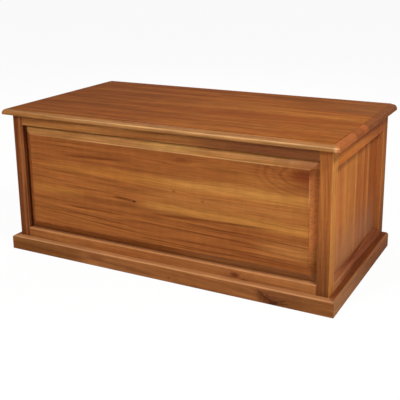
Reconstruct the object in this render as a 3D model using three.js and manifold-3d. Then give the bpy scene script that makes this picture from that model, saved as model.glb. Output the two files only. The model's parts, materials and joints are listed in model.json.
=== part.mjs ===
// Blanket chest: a framed box with a raised front panel, boarded sides, a mitred plinth and a hinged lid.
// Millimetres. X runs to the right of somebody who faces the chest, Y to the back, Z up; the floor is Z = 0.

import * as THREE from 'three';
import { mergeVertices } from 'three/addons/utils/BufferGeometryUtils.js';
import Module from 'manifold-3d';

const wasm = await Module();
wasm.setup();

// Carcass: four posts with rails between them.
const carcassWidth = 1125;
const carcassDepth = 580;
const carcassHeight = 480;
const postWidth = 39;
const postDepth = 44;
const railThickness = 39;
const rearRailThickness = 24;
const frontTopRailHeight = 36;
const frontBottomRailTop = 79;
const sideTopRailHeight = 60;
const sideBottomRailTop = 71;
const rearTopRailHeight = 62;
const rearBottomRailTop = 78;
const bottomRailUnderside = 10;
const postArrisRadius = 3;
const frameArrisRadius = 4;

// Panels and boards held in grooves.
const grooveDepth = 9;
const tongueLength = 8;
const panelRecess = 21;
const frontTongueThickness = 8.2;
const bevelWidth = 28;
const bevelRise = 16.5;
const fieldStep = 1.1;
const sidePanelThickness = 12;
const sideBoardShares = [0.26, 0.24, 0.31, 0.19];
const rearPanelRecess = 7.5;
const rearPanelThickness = 9.2;

// Plinth round the front and the two sides.
const plinthThickness = 22;
const plinthHeight = 48;
const plinthArrisRadius = 7.8;
const mitreGap = 0.3;

// Floor on its cleats.
const cleatSection = 20.5;
const floorUnderside = 50;
const floorThickness = 9.5;
const floorClearance = 1.5;

// Lid: edge-joined boards. The moulding on the front and the ends is a rounded nose, a gently sloping shoulder
// and a small upright quirk.
const lidThickness = 21;
const lidOverhang = 24.5;
const lidBackOverhang = 14;
const lidGap = 1;
const noseWidth = 12;
const noseHeight = 14.5;
const shoulderWidth = 8;
const shoulderDrop = 0.9;
const mouldingQuirk = 1.4;
const lidUnderArris = 1.7;
const lidBoardShares = [0.27, 0.18, 0.18, 0.18, 0.19];
const battenWidth = 60.5;
const battenThickness = 18;
const battenPlaceShare = 0.52;
const battenEndClearance = 12.5;

// Butt hinges with the knuckles behind the carcass.
const hingeLength = 76;
const hingePlaceShare = 0.66;
const knuckleRadius = 4.2;
const pinRadius = 2;
const pinPlay = 0.15;
const pinHeadRadius = 3.1;
const pinHeadLength = 1.4;
const leafThickness = 1.9;
const leafWidth = 18.5;
const knuckleGap = 0.35;
const knuckleStandOff = 0.4;
const gainPlay = 0.32;
const knuckleNotchPlay = 0.6;

// Folding lid stays: two flat arms that keep parallel to the two lines from the hinge pin to their end pivots.
const stayReach = 190;
const stayDrop = 188;
const stayPivotDrop = 16.4;
const stayRailClearance = 3.6;
const armWidth = 13;
const armThickness = 2.5;
const armGap = 0.31;
const rivetRadius = 2.6;
const rivetPlay = 0.2;
const rivetHeadRadius = 4.6;
const rivetHeadLength = 1.6;
const bossRadius = 6.2;
const bossLength = 4.1;
const boxPlateThickness = 2.1;
const boxPlateWidth = 17;
const boxPlateHeight = 42;
const lidPlateThickness = 2.05;
const lidPlateWidth = 22.5;
const lidPlateLength = 46;
const tabRadius = 7.4;

// How finely round shapes are drawn.
const arrisSteps = 4;
const noseSteps = 7;
const roundSteps = 24;
const cutterOverrun = 1.7;

// Places that follow from the sizes.
const halfWidth = carcassWidth / 2;
const halfDepth = carcassDepth / 2;
const carcassY = (Math.max(lidOverhang, plinthThickness) - lidBackOverhang) / 2;
const frontFace = carcassY - halfDepth;
const rearFace = carcassY + halfDepth;
const innerHalfWidth = halfWidth - postWidth;
const frontInner = frontFace + postDepth;
const rearInner = rearFace - postDepth;
const lidUnderside = carcassHeight + lidGap;
const lidTop = lidUnderside + lidThickness;
const hingeY = rearFace + knuckleStandOff + knuckleRadius;
const hingeZ = carcassHeight + lidGap / 2;

// Colours and surfaces of the materials.
const lacquer = 0.32;
const timber = {
  lid: 0xa4683a,
  lidFront: 0xb47d4b,
  topRail: 0x8a5a30,
  bottomRail: 0x99602f,
  postFront: 0xa0602f,
  postSide: 0xb87040,
  frontPanel: 0xa8703a,
  sideGold: 0xb9783a,
  sideBrown: 0x96602f,
  sideRed: 0xa8642f,
  plinth: 0x875a34,
  inside: 0xb08050,
  plywood: 0xc09a6a,
};
const brassColour = 0xb08d4a;
const steelColour = 0x9a9a98;

function paint(colour, roughness, metalness) {
  return new THREE.MeshStandardMaterial({ color: colour, roughness, metalness });
}

function piece(name, geometry, material) {
  geometry.computeVertexNormals();
  const mesh = new THREE.Mesh(geometry, material);
  mesh.name = name;
  return mesh;
}

function wooden(name, geometry, colour) {
  return piece(name, geometry, paint(colour, lacquer, 0));
}

function metallic(name, geometry, colour) {
  return piece(name, geometry, paint(colour, lacquer, 1));
}

// Solids from geometries and back again.
function toSolid(geometry) {
  const bare = geometry.clone();
  bare.deleteAttribute('normal');
  bare.deleteAttribute('uv');
  const merged = mergeVertices(bare);
  return new wasm.Manifold(new wasm.Mesh({
    numProp: 3,
    vertProperties: Float32Array.from(merged.attributes.position.array),
    triVerts: Uint32Array.from(merged.index.array),
  }));
}

function toGeometry(solid) {
  const mesh = solid.getMesh();
  const geometry = new THREE.BufferGeometry();
  geometry.setAttribute('position', new THREE.BufferAttribute(Float32Array.from(mesh.vertProperties), 3));
  geometry.setIndex(new THREE.BufferAttribute(Uint32Array.from(mesh.triVerts), 1));
  return geometry;
}

function cut(body, ...tools) {
  return toGeometry(tools.reduce((rest, tool) => rest.subtract(toSolid(tool)), toSolid(body)));
}

function join(...parts) {
  return toGeometry(parts.map(toSolid).reduce((whole, part) => whole.add(part)));
}

function common(first, second) {
  return toGeometry(toSolid(first).intersect(toSolid(second)));
}

// A box between two corners, given as low and high X, Y and Z.
function boxBetween(x0, x1, y0, y1, z0, z1) {
  const box = new THREE.BoxGeometry(Math.abs(x1 - x0), Math.abs(y1 - y0), Math.abs(z1 - z0));
  return box.translate((x0 + x1) / 2, (y0 + y1) / 2, (z0 + z1) / 2);
}

// A closed skin over rings of points that all have the same count; a loop of rings needs no end faces.
function skin(rings, closedLoop) {
  const count = rings[0].length;
  const points = rings.flat();
  const faces = [];
  const spans = closedLoop ? rings.length : rings.length - 1;
  for (let r = 0; r < spans; r += 1) {
    const low = r * count;
    const high = ((r + 1) % rings.length) * count;
    for (let i = 0; i < count; i += 1) {
      const next = (i + 1) % count;
      faces.push(low + i, low + next, high + next, low + i, high + next, high + i);
    }
  }
  if (!closedLoop) {
    const last = (rings.length - 1) * count;
    for (const [a, b, c] of capOf(rings[0])) {
      faces.push(c, b, a);
    }
    for (const [a, b, c] of capOf(rings[rings.length - 1])) {
      faces.push(last + a, last + b, last + c);
    }
  }
  const geometry = new THREE.BufferGeometry();
  geometry.setAttribute('position', new THREE.Float32BufferAttribute(points.flatMap((p) => [p.x, p.y, p.z]), 3));
  geometry.setIndex(faces);
  return outward(geometry);
}

// Triangles of a flat ring, in the ring's own order, found in the plane of its two widest directions.
function capOf(ring) {
  const normal = new THREE.Vector3();
  ring.forEach((p, i) => normal.add(new THREE.Vector3().crossVectors(p, ring[(i + 1) % ring.length])));
  normal.normalize();
  const along = new THREE.Vector3().subVectors(ring[1], ring[0]).normalize();
  const across = new THREE.Vector3().crossVectors(normal, along);
  const flat = ring.map((p) => new THREE.Vector2(p.dot(along), p.dot(across)));
  return THREE.ShapeUtils.triangulateShape(flat, []);
}

// Turns a closed geometry the right way out if its volume comes out negative.
function outward(geometry) {
  const p = geometry.attributes.position;
  const index = geometry.index.array;
  const [a, b, c] = [new THREE.Vector3(), new THREE.Vector3(), new THREE.Vector3()];
  let volume = 0;
  for (let i = 0; i < index.length; i += 3) {
    a.fromBufferAttribute(p, index[i]);
    b.fromBufferAttribute(p, index[i + 1]);
    c.fromBufferAttribute(p, index[i + 2]);
    volume += a.dot(b.cross(c));
  }
  if (volume < 0) {
    for (let i = 0; i < index.length; i += 3) {
      [index[i + 1], index[i + 2]] = [index[i + 2], index[i + 1]];
    }
  }
  return geometry;
}

// The same shape on the other side of the chest.
function mirrored(geometry) {
  return outward(geometry.clone().scale(-1, 1, 1));
}

function onSide(side, geometry) {
  return side > 0 ? geometry : mirrored(geometry);
}

// A quarter of an ellipse from (u0, v0), which leaves along v, to (u0 + du, v0 + dv), which arrives along u.
function quarter(u0, v0, du, dv, steps) {
  const points = [];
  for (let i = 0; i <= steps; i += 1) {
    const turn = (i / steps) * (Math.PI / 2);
    points.push([u0 + du * (1 - Math.cos(turn)), v0 + dv * Math.sin(turn)]);
  }
  return points;
}

// A round shape on an axis along X: pairs of place and radius.
function turned(stations, y, z) {
  return skin(stations.map(([x, radius]) => {
    const ring = [];
    for (let i = 0; i < roundSteps; i += 1) {
      const angle = (i / roundSteps) * Math.PI * 2;
      ring.push(new THREE.Vector3(x, y + radius * Math.cos(angle), z + radius * Math.sin(angle)));
    }
    return ring;
  }), false);
}

function cylinderX(x0, x1, radius, y, z) {
  return turned([[Math.min(x0, x1), radius], [Math.max(x0, x1), radius]], y, z);
}

// The waste that rounds the arris of a rectangular opening, mitred at its corners. place(across, up, deep)
// turns distances outside the opening and behind the face into a point of the chest.
function arrisWaste(left, right, bottom, top, place) {
  const r = frameArrisRadius;
  const profile = [[-cutterOverrun, -cutterOverrun], [r, -cutterOverrun]];
  for (const [u, v] of quarter(0, 0, r, r, arrisSteps).reverse()) {
    profile.push([u, r - v]);
  }
  profile.push([-cutterOverrun, r]);
  const corners = [[left, bottom, -1, -1], [right, bottom, 1, -1], [right, top, 1, 1], [left, top, -1, 1]];
  return skin(corners.map(([a, b, sa, sb]) => profile.map(([u, v]) => place(a + sa * u, b + sb * u, v))), true);
}

// The openings of the frames: their edges, and how a point on each face is placed.
const frontOpening = {
  left: -innerHalfWidth,
  right: innerHalfWidth,
  bottom: frontBottomRailTop,
  top: carcassHeight - frontTopRailHeight,
  place: (across, up, deep) => new THREE.Vector3(across, frontFace + deep, up),
};

function sideOpening(side) {
  return {
    left: frontInner,
    right: rearInner,
    bottom: sideBottomRailTop,
    top: carcassHeight - sideTopRailHeight,
    place: (across, up, deep) => new THREE.Vector3(side * (halfWidth - deep), across, up),
  };
}

function openingWaste(opening) {
  return arrisWaste(opening.left, opening.right, opening.bottom, opening.top, opening.place);
}

// The grooves that hold the panels, each as one block of waste that reaches past the opening all round.
function frontGroove() {
  const front = frontFace + panelRecess;
  return boxBetween(
    frontOpening.left - grooveDepth, frontOpening.right + grooveDepth,
    front, front + frontTongueThickness,
    frontOpening.bottom - grooveDepth, frontOpening.top + grooveDepth,
  );
}

function sideGroove(side) {
  const opening = sideOpening(side);
  const outer = halfWidth - panelRecess;
  return boxBetween(
    side * (outer - sidePanelThickness), side * outer,
    opening.left - grooveDepth, opening.right + grooveDepth,
    opening.bottom - grooveDepth, opening.top + grooveDepth,
  );
}

function rearGroove() {
  const rear = rearFace - rearPanelRecess;
  return boxBetween(
    -innerHalfWidth - grooveDepth, innerHalfWidth + grooveDepth,
    rear - rearPanelThickness, rear,
    rearBottomRailTop - grooveDepth, carcassHeight - rearTopRailHeight + grooveDepth,
  );
}

// Posts: slightly deeper than wide, with the outer corner rounded and the panel grooves cut in.
function postBlank(side, end) {
  const outerX = side * halfWidth;
  const outerY = end < 0 ? frontFace : rearFace;
  const r = postArrisRadius;
  const corner = quarter(0, 0, r, r, arrisSteps).map(([u, v]) => [outerX - side * u, outerY - end * (r - v)]);
  const outline = [
    ...corner,
    [outerX - side * postWidth, outerY],
    [outerX - side * postWidth, outerY - end * postDepth],
    [outerX, outerY - end * postDepth],
  ];
  return skin([0, carcassHeight].map((z) => outline.map(([x, y]) => new THREE.Vector3(x, y, z))), false);
}

function frontPost(side) {
  const opening = sideOpening(side);
  return cut(postBlank(side, -1), frontGroove(), sideGroove(side), openingWaste(frontOpening), openingWaste(opening));
}

function rearPost(side) {
  return cut(postBlank(side, 1), rearGroove(), sideGroove(side), openingWaste(sideOpening(side)));
}

// Rails between the posts.
function frontRail(bottom, top) {
  const blank = boxBetween(-innerHalfWidth, innerHalfWidth, frontFace, frontFace + railThickness, bottom, top);
  return cut(blank, frontGroove(), openingWaste(frontOpening));
}

function sideRail(side, bottom, top) {
  const inner = halfWidth - railThickness;
  const blank = boxBetween(side * inner, side * halfWidth, frontInner, rearInner, bottom, top);
  return cut(blank, sideGroove(side), openingWaste(sideOpening(side)));
}

function rearRailBlank(bottom, top) {
  return boxBetween(-innerHalfWidth, innerHalfWidth, rearFace - rearRailThickness, rearFace, bottom, top);
}

function rearTopRail() {
  const gains = [-1, 1].map((side) => gainBox(side, carcassHeight - leafThickness, carcassHeight + cutterOverrun));
  const blank = rearRailBlank(carcassHeight - rearTopRailHeight, carcassHeight);
  return cut(blank, rearGroove(), ...gains);
}

// Front panel: a thin tongue in the grooves, a slope up to a small step, and the raised field.
function frontPanel() {
  const { left, right, bottom, top } = frontOpening;
  const ring = (grow, deep) => [
    new THREE.Vector3(left - grow, frontFace + deep, bottom - grow),
    new THREE.Vector3(right + grow, frontFace + deep, bottom - grow),
    new THREE.Vector3(right + grow, frontFace + deep, top + grow),
    new THREE.Vector3(left - grow, frontFace + deep, top + grow),
  ];
  return skin([
    ring(tongueLength, panelRecess + frontTongueThickness),
    ring(tongueLength, panelRecess),
    ring(0, panelRecess),
    ring(-bevelWidth, panelRecess - bevelRise),
    ring(-bevelWidth, panelRecess - bevelRise - fieldStep),
  ], false);
}

// Side panels: upright boards, edge to edge, from the front post to the rear post.
function sideBoard(side, index) {
  const opening = sideOpening(side);
  const start = opening.left - tongueLength;
  const run = opening.right + tongueLength - start;
  const before = sideBoardShares.slice(0, index).reduce((sum, share) => sum + share, 0);
  const whole = sideBoardShares.reduce((sum, share) => sum + share, 0);
  const outer = halfWidth - panelRecess;
  return boxBetween(
    side * (outer - sidePanelThickness), side * outer,
    start + (run * before) / whole, start + (run * (before + sideBoardShares[index])) / whole,
    opening.bottom - tongueLength, opening.top + tongueLength,
  );
}

function rearPanel() {
  const rear = rearFace - rearPanelRecess;
  return boxBetween(
    -innerHalfWidth - tongueLength, innerHalfWidth + tongueLength,
    rear - rearPanelThickness, rear,
    rearBottomRailTop - tongueLength, carcassHeight - rearTopRailHeight + tongueLength,
  );
}

// Plinth boards: one section all round, mitred where they meet.
function plinthSection() {
  const r = plinthArrisRadius;
  const nose = quarter(0, 0, r, r, arrisSteps + 1).map(([u, v]) => [plinthThickness - u, plinthHeight - r + v]);
  return [[0, 0], [plinthThickness, 0], ...nose, [0, plinthHeight]];
}

function plinthFront() {
  const end = (side) => plinthSection().map(([out, z]) => (
    new THREE.Vector3(side * (halfWidth + out), frontFace - out, z)
  ));
  return skin([end(-1), end(1)], false);
}

function plinthSide(side) {
  const section = plinthSection();
  const mitre = section.map(([out, z]) => new THREE.Vector3(halfWidth + out, frontFace - out + mitreGap, z));
  const square = section.map(([out, z]) => new THREE.Vector3(halfWidth + out, rearFace, z));
  return onSide(side, skin([mitre, square], false));
}

// Floor: a sheet notched round the posts, on cleats along the bottom rails.
const floorFront = frontFace + railThickness;
const floorRear = rearFace - rearRailThickness;
const floorHalfWidth = halfWidth - railThickness;

function floorSheet() {
  const c = floorClearance;
  const z0 = floorUnderside;
  const z1 = floorUnderside + floorThickness;
  const sheet = boxBetween(-floorHalfWidth + c, floorHalfWidth - c, floorFront + c, floorRear - c, z0, z1);
  const notches = [];
  for (const side of [-1, 1]) {
    for (const [y0, y1] of [[frontFace, frontInner + c], [rearInner - c, rearFace]]) {
      notches.push(boxBetween(side * (innerHalfWidth - c), side * halfWidth, y0, y1, z0 - c, z1 + c));
    }
  }
  return cut(sheet, ...notches);
}

function longCleat(end) {
  const wall = end < 0 ? floorFront : floorRear;
  return boxBetween(
    -innerHalfWidth, innerHalfWidth,
    wall, wall - end * cleatSection,
    floorUnderside - cleatSection, floorUnderside,
  );
}

function sideCleat(side) {
  const start = Math.max(frontInner, floorFront + cleatSection);
  const finish = Math.min(rearInner, floorRear - cleatSection);
  return boxBetween(
    side * (floorHalfWidth - cleatSection), side * floorHalfWidth,
    start, finish,
    floorUnderside - cleatSection, floorUnderside,
  );
}

// Lid: the moulded slab, sawn into its boards.
function lidSlab() {
  const side = halfWidth + lidOverhang;
  const front = frontFace - lidOverhang;
  const rear = rearFace + lidBackOverhang;
  const ring = (inset, z) => [
    new THREE.Vector3(-side + inset, front + inset, z),
    new THREE.Vector3(side - inset, front + inset, z),
    new THREE.Vector3(side - inset, rear, z),
    new THREE.Vector3(-side + inset, rear, z),
  ];
  const shoulder = lidTop - mouldingQuirk;
  const noseFoot = shoulder - shoulderDrop - noseHeight;
  const under = quarter(0, 0, lidUnderArris, lidUnderArris, arrisSteps - 1).reverse();
  const nose = quarter(0, noseFoot, noseWidth, noseHeight, noseSteps);
  return skin([
    ...under.map(([inset, v]) => ring(inset, lidUnderside + lidUnderArris - v)),
    ...nose.map(([inset, z]) => ring(inset, z)),
    ring(noseWidth + shoulderWidth, shoulder),
    ring(noseWidth + shoulderWidth, lidTop),
  ], false);
}

function lidBoard(index) {
  const front = frontFace - lidOverhang;
  const run = carcassDepth + lidOverhang + lidBackOverhang;
  const before = lidBoardShares.slice(0, index).reduce((sum, share) => sum + share, 0);
  const whole = lidBoardShares.reduce((sum, share) => sum + share, 0);
  const last = index === lidBoardShares.length - 1;
  const wide = halfWidth + lidOverhang + cutterOverrun;
  const board = common(lidSlab(), boxBetween(
    -wide, wide,
    index === 0 ? front - cutterOverrun : front + (run * before) / whole,
    last ? front + run + cutterOverrun : front + (run * (before + lidBoardShares[index])) / whole,
    lidUnderside - cutterOverrun, lidTop + cutterOverrun,
  ));
  return last ? cut(board, ...hingeWaste(-1), ...hingeWaste(1)) : board;
}

function lidBatten(side) {
  const middle = side * halfWidth * battenPlaceShare;
  return boxBetween(
    middle - battenWidth / 2, middle + battenWidth / 2,
    floorFront + battenEndClearance, floorRear - battenEndClearance,
    lidUnderside - battenThickness, lidUnderside,
  );
}

// Hinges: two leaves let in flush, three knuckles and a headed pin.
function hingeStart(side) {
  return side * halfWidth * hingePlaceShare - hingeLength / 2;
}

function gainBox(side, z0, z1) {
  const start = hingeStart(side);
  return boxBetween(
    start - gainPlay, start + hingeLength + gainPlay,
    rearFace - leafWidth - gainPlay, rearFace + cutterOverrun,
    z0, z1,
  );
}

function hingeWaste(side) {
  const start = hingeStart(side);
  const endRoom = pinHeadLength + knuckleNotchPlay;
  const notch = boxBetween(
    start - endRoom, start + hingeLength + endRoom,
    rearFace - knuckleNotchPlay, rearFace + lidBackOverhang + cutterOverrun,
    lidUnderside - cutterOverrun, hingeZ + knuckleRadius + knuckleNotchPlay,
  );
  return [gainBox(side, lidUnderside - cutterOverrun, lidUnderside + leafThickness), notch];
}

// A leaf with the knuckles of its own thirds; the plate stops at the carcass face where the other leaf's are.
function hingeLeaf(side, underside, thirds) {
  const start = hingeStart(side);
  const third = hingeLength / 3;
  const plate = boxBetween(
    start, start + hingeLength,
    rearFace - leafWidth, hingeY,
    underside, underside + leafThickness,
  );
  const own = [0, 1, 2].filter((n) => thirds.includes(n));
  const foreign = [0, 1, 2].filter((n) => !thirds.includes(n));
  const knuckles = own.map((n) => cylinderX(
    start + third * n + (n === 0 ? 0 : knuckleGap / 2),
    start + third * (n + 1) - (n === 2 ? 0 : knuckleGap / 2),
    knuckleRadius, hingeY, hingeZ,
  ));
  const cuts = foreign.map((n) => boxBetween(
    start + third * n - (n === 0 ? cutterOverrun : knuckleGap / 2),
    start + third * (n + 1) + (n === 2 ? cutterOverrun : knuckleGap / 2),
    rearFace, hingeY + knuckleRadius + cutterOverrun,
    underside - cutterOverrun, underside + leafThickness + cutterOverrun,
  ));
  const bore = cylinderX(
    start - cutterOverrun, start + hingeLength + cutterOverrun,
    pinRadius + pinPlay, hingeY, hingeZ,
  );
  return cut(join(cut(plate, ...cuts), ...knuckles), bore);
}

function hingePin(side) {
  const start = hingeStart(side);
  const end = start + hingeLength;
  return turned([
    [start - pinHeadLength, pinHeadRadius],
    [start, pinHeadRadius],
    [start, pinRadius],
    [end, pinRadius],
    [end, pinHeadRadius],
    [end + pinHeadLength, pinHeadRadius],
  ], hingeY, hingeZ);
}

// Lid stays. Their pivots, seen from the side, as [Y, Z].
const armOuter = innerHalfWidth - boxPlateThickness - bossLength;
const armInner = armOuter - armThickness;
const upperOuter = armInner - armGap;
const upperInner = upperOuter - armThickness;
const boxPivot = [
  rearFace - rearRailThickness - stayRailClearance - armWidth / 2,
  hingeZ - stayDrop,
];
const lidPivot = [hingeY - stayReach, hingeZ - stayPivotDrop];
const elbow = [boxPivot[0] + lidPivot[0] - hingeY, boxPivot[1] + lidPivot[1] - hingeZ];

function discFrom(x0, x1, radius, centre) {
  return cylinderX(x0, x1, radius, centre[0], centre[1]);
}

// A flat arm with round ends and a hole at each end.
function armBetween(from, to, x0, x1) {
  const run = new THREE.Vector2(to[0] - from[0], to[1] - from[1]);
  const lean = run.angle();
  const half = roundSteps / 2;
  const outline = [];
  for (const [centre, start] of [[from, lean + Math.PI / 2], [to, lean - Math.PI / 2]]) {
    for (let i = 0; i <= half; i += 1) {
      const angle = start + (i / half) * Math.PI;
      outline.push([
        centre[0] + (armWidth / 2) * Math.cos(angle),
        centre[1] + (armWidth / 2) * Math.sin(angle),
      ]);
    }
  }
  const bar = skin([x0, x1].map((x) => outline.map(([y, z]) => new THREE.Vector3(x, y, z))), false);
  const holes = [from, to].map((centre) => (
    discFrom(x0 - cutterOverrun, x1 + cutterOverrun, rivetRadius + rivetPlay, centre)
  ));
  return cut(bar, ...holes);
}

function stayLowerArm(side) {
  return onSide(side, armBetween(boxPivot, elbow, armInner, armOuter));
}

function stayUpperArm(side) {
  return onSide(side, armBetween(elbow, lidPivot, upperInner, upperOuter));
}

// The plate on the post's inner face, with a boss that holds the arm clear of it.
function stayBoxPlate(side) {
  const [y, z] = boxPivot;
  const plate = boxBetween(
    innerHalfWidth - boxPlateThickness, innerHalfWidth,
    y - boxPlateWidth / 2, y + boxPlateWidth / 2,
    z - boxPlateHeight / 2, z + boxPlateHeight / 2,
  );
  const boss = discFrom(armOuter, innerHalfWidth - boxPlateThickness / 2, bossRadius, boxPivot);
  const bore = discFrom(armOuter - cutterOverrun, halfWidth, rivetRadius + rivetPlay, boxPivot);
  return onSide(side, cut(join(plate, boss), bore));
}

// The bracket under the lid: a plate against the boards and a round-ended tab that takes the upper arm.
function stayLidBracket(side) {
  const [y, z] = lidPivot;
  const tabOuter = armInner + lidPlateThickness;
  const plate = boxBetween(
    tabOuter - lidPlateWidth, tabOuter,
    y - lidPlateLength / 2, y + lidPlateLength / 2,
    lidUnderside - lidPlateThickness, lidUnderside,
  );
  const web = boxBetween(
    armInner, tabOuter,
    y - tabRadius, y + tabRadius,
    z, lidUnderside - lidPlateThickness / 2,
  );
  const nose = discFrom(armInner, tabOuter, tabRadius, lidPivot);
  const bore = discFrom(armInner - cutterOverrun, tabOuter + cutterOverrun, rivetRadius + rivetPlay, lidPivot);
  return onSide(side, cut(join(plate, web, nose), bore));
}

// Rivets: a shank with a head at one end or at both.
function stayBoxRivet(side) {
  return onSide(side, turned([
    [armInner - rivetHeadLength, rivetHeadRadius],
    [armInner, rivetHeadRadius],
    [armInner, rivetRadius],
    [innerHalfWidth, rivetRadius],
  ], boxPivot[0], boxPivot[1]));
}

function twoHeadRivet(side, inner, outer, centre) {
  return onSide(side, turned([
    [inner - rivetHeadLength, rivetHeadRadius],
    [inner, rivetHeadRadius],
    [inner, rivetRadius],
    [outer, rivetRadius],
    [outer, rivetHeadRadius],
    [outer + rivetHeadLength, rivetHeadRadius],
  ], centre[0], centre[1]));
}

function stayElbowRivet(side) {
  return twoHeadRivet(side, upperInner, armOuter, elbow);
}

function stayLidRivet(side) {
  return twoHeadRivet(side, upperInner, armInner + lidPlateThickness, lidPivot);
}

// The whole chest.
const chest = new THREE.Group();
chest.name = 'blanket_chest';
const sides = [[-1, 'left'], [1, 'right']];
const sideTones = [timber.sideRed, timber.sideGold, timber.sideBrown, timber.sideGold];

for (const [side, word] of sides) {
  chest.add(wooden(`post_front_${word}`, frontPost(side), side < 0 ? timber.postFront : timber.postSide));
  chest.add(wooden(`post_rear_${word}`, rearPost(side), timber.postSide));
}
chest.add(wooden('rail_front_top', frontRail(frontOpening.top, carcassHeight), timber.topRail));
chest.add(wooden('rail_front_bottom', frontRail(bottomRailUnderside, frontOpening.bottom), timber.bottomRail));
chest.add(wooden('rail_rear_top', rearTopRail(), timber.topRail));
chest.add(wooden(
  'rail_rear_bottom',
  cut(rearRailBlank(bottomRailUnderside, rearBottomRailTop), rearGroove()),
  timber.bottomRail,
));
for (const [side, word] of sides) {
  const opening = sideOpening(side);
  chest.add(wooden(`rail_${word}_top`, sideRail(side, opening.top, carcassHeight), timber.postSide));
  chest.add(wooden(`rail_${word}_bottom`, sideRail(side, bottomRailUnderside, opening.bottom), timber.bottomRail));
}
chest.add(wooden('panel_front_raised', frontPanel(), timber.frontPanel));
chest.add(wooden('panel_rear', rearPanel(), timber.plywood));
for (const [side, word] of sides) {
  sideBoardShares.forEach((share, index) => {
    chest.add(wooden(`side_board_${word}_${index + 1}`, sideBoard(side, index), sideTones[index % sideTones.length]));
  });
}
chest.add(wooden('plinth_front', plinthFront(), timber.plinth));
for (const [side, word] of sides) {
  chest.add(wooden(`plinth_${word}`, plinthSide(side), timber.plinth));
}
chest.add(wooden('floor_sheet', floorSheet(), timber.plywood));
chest.add(wooden('cleat_front', longCleat(-1), timber.inside));
chest.add(wooden('cleat_rear', longCleat(1), timber.inside));
for (const [side, word] of sides) {
  chest.add(wooden(`cleat_${word}`, sideCleat(side), timber.inside));
}
lidBoardShares.forEach((share, index) => {
  chest.add(wooden(`lid_board_${index + 1}`, lidBoard(index), index === 0 ? timber.lidFront : timber.lid));
});
for (const [side, word] of sides) {
  chest.add(wooden(`lid_batten_${word}`, lidBatten(side), timber.inside));
}
for (const [side, word] of sides) {
  const boxLeaf = hingeLeaf(side, carcassHeight - leafThickness, [0, 2]);
  chest.add(metallic(`hinge_${word}_box_leaf`, boxLeaf, brassColour));
  chest.add(metallic(`hinge_${word}_lid_leaf`, hingeLeaf(side, lidUnderside, [1]), brassColour));
  chest.add(metallic(`hinge_${word}_pin`, hingePin(side), steelColour));
}
for (const [side, word] of sides) {
  chest.add(metallic(`stay_${word}_box_plate`, stayBoxPlate(side), brassColour));
  chest.add(metallic(`stay_${word}_lower_arm`, stayLowerArm(side), brassColour));
  chest.add(metallic(`stay_${word}_upper_arm`, stayUpperArm(side), brassColour));
  chest.add(metallic(`stay_${word}_lid_bracket`, stayLidBracket(side), brassColour));
  chest.add(metallic(`stay_${word}_box_rivet`, stayBoxRivet(side), steelColour));
  chest.add(metallic(`stay_${word}_elbow_rivet`, stayElbowRivet(side), steelColour));
  chest.add(metallic(`stay_${word}_lid_rivet`, stayLidRivet(side), steelColour));
}

export default chest;
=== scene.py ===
# %% [markdown]
# # A blanket chest in solid timber
# The chest is a low box with a framed front, boarded ends and a hinged lid, finished in a clear satin
# lacquer. The measured model, made elsewhere, is loaded first and stays the frame for everything: each
# piece keeps its place and its size, and this lesson gives it timber, brass and light. Nearly all the
# work is in the timber, because a plain box lives from its grain.

import json
import math

import bpy
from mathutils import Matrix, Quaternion, Vector


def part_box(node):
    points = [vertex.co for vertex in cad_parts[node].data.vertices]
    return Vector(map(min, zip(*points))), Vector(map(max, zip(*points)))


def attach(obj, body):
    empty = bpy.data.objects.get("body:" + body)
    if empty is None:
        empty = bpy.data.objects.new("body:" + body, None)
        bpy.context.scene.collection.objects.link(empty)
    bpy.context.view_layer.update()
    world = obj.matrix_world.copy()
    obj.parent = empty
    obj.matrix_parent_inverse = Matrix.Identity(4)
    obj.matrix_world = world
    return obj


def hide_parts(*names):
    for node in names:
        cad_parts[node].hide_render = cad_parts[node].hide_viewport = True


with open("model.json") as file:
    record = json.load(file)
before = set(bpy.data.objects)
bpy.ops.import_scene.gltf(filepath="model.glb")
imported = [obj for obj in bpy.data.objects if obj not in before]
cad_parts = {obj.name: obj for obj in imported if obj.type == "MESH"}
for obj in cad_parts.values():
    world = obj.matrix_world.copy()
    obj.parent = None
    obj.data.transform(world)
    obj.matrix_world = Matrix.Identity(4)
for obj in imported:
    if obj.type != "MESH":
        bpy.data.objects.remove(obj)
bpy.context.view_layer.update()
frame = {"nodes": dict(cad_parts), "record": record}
bodies_of_nodes = {node: body for body, nodes in frame["record"]["behaviour"]["bodies"].items() for node in nodes}


# %% [markdown]
# ## The camera
# The photograph was taken from the right of the front, a little above the lid. Its numbers come from
# lining up the corners of the measured model with the corners in the picture. A camera could be placed
# by eye as well, but then every later comparison would be off by a few pixels. The picture's upright
# edges stay almost parallel, which takes a downward shift of the lens.

# %% Place the camera
VIEW_AZIMUTH = math.radians(28.22)
VIEW_ELEVATION = math.radians(14.79)
VIEW_ROLL = math.radians(-0.71)
VIEW_DISTANCE = 2.5171
AIM = Vector((-0.0007, 0.0053, 0.3485))
LENS_MM = 66.45
LENS_SHIFT = -0.125

towards_camera = Vector(
    (
        math.sin(VIEW_AZIMUTH) * math.cos(VIEW_ELEVATION),
        -math.cos(VIEW_AZIMUTH) * math.cos(VIEW_ELEVATION),
        math.sin(VIEW_ELEVATION),
    )
)
turn = towards_camera.to_track_quat("Z", "Y") @ Quaternion((0, 0, 1), VIEW_ROLL)
bpy.ops.object.camera_add(location=AIM + towards_camera * VIEW_DISTANCE, rotation=turn.to_euler())
camera = bpy.context.object
camera.data.lens = LENS_MM
camera.data.shift_y = LENS_SHIFT
bpy.context.scene.camera = camera
print("camera at", [round(value, 3) for value in camera.location])


# %% [markdown]
# ## Working with nodes
# A material is a graph of nodes. Building one in code means adding a node, setting its options and
# joining its sockets, over and over. A small class keeps that readable: it holds one graph, and has a
# short word for any node, for a sum, for a change of range and for a mix of two colours.

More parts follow.
